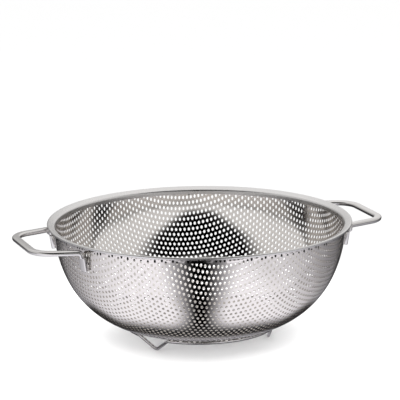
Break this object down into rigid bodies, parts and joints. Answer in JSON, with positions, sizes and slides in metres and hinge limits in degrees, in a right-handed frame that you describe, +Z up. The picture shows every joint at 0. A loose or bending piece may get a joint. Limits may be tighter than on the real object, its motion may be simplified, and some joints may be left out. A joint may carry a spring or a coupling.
{
  "type": "colander",
  "caption": "Round perforated steel colander with a crimped rim band, a bar handle on each side and a bent-wire foot ring.",
  "frame": {"origin": "on the surface that the feet stand on, under the middle of the bowl", "axes": "+X through the middle of the right handle, +Z up through the mouth, +Y through the back foot"},
  "size_m": [0.351, 0.286, 0.1121],
  "materials": {
    "polished_sheet": "mirror-polished stainless steel sheet",
    "satin_band": "satin stainless steel, brushed round the rim",
    "handle_bar": "polished stainless steel bar",
    "foot_wire": "polished stainless steel wire"
  },
  "bodies": {
    "root": {"perforated_bowl": "polished_sheet", "rim_band": "satin_band", "handle_right": "handle_bar", "handle_left": "handle_bar", "foot_ring": "foot_wire"}
  },
  "joints": []
}
